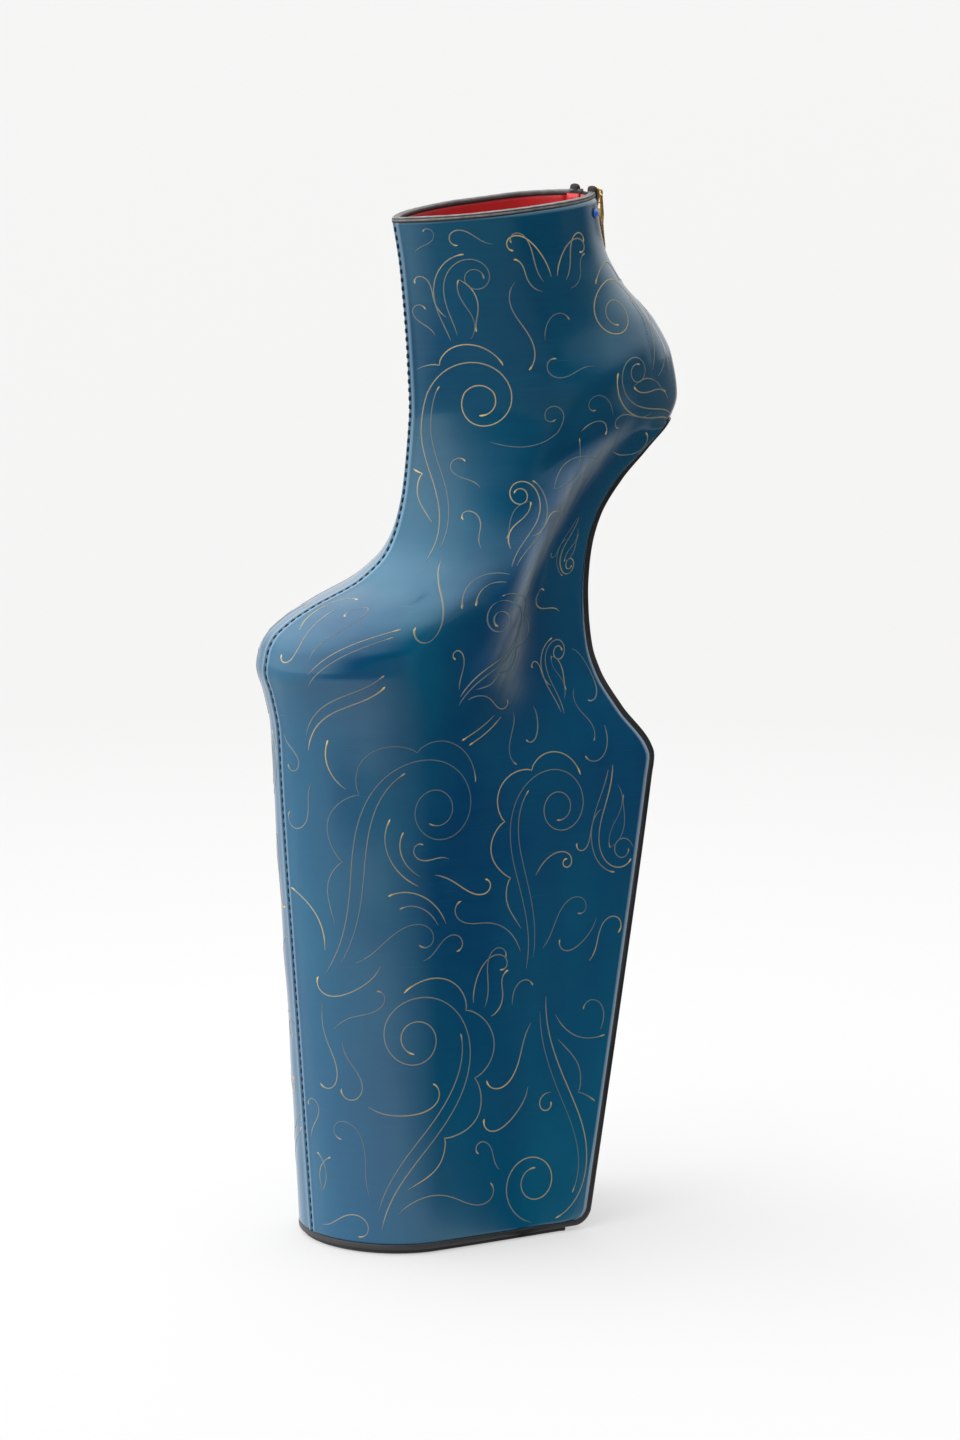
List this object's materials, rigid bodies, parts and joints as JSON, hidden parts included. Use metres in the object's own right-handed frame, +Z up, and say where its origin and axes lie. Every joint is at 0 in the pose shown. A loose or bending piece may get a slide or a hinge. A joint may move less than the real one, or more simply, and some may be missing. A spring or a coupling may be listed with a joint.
{
  "type": "heel-less platform ankle boot",
  "caption": "Tall heel-less platform ankle boot in tooled blue leather: foot held steeply over a tapering covered block, hollow arch, black sole sheet, back zip.",
  "frame": {"origin": "on the floor under the middle of the shoe's overall box", "axes": "+Z up, -X towards the toe, +X towards the heel, -Y the inner side of a right shoe"},
  "size_m": [0.2063, 0.0876, 0.4605],
  "materials": {
    "blue_leather": "hand-tooled, burnished, satin gloss",
    "platform_block": "raw, hidden by the leather",
    "red_lining": "matt lining leather",
    "black_sole": "smooth, burnished edge",
    "black_tread": "matt tread",
    "black_tape": "woven tape",
    "gold_metal": "polished",
    "blue_stud": "blue enamel"
  },
  "bodies": {
    "shoe": {"upper": "blue_leather", "platform": "platform_block", "insole": "red_lining", "sole": "black_sole", "outsole": "black_tread", "zip_tape": "black_tape", "zip_chain": "gold_metal", "zip_slider": "gold_metal", "zip_end_near": "black_tape", "zip_end_far": "black_tape", "stud_near": "blue_stud", "stud_far": "blue_stud"},
    "pull": {"zip_pull": "gold_metal"}
  },
  "joints": [
    {"name": "pull_hinge", "type": "hinge", "parent": "shoe", "child": "pull", "pos_m": [0.06414, 0, 0.45541], "axis": [0, -1, 0], "range_deg": [0, 140]}
  ]
}
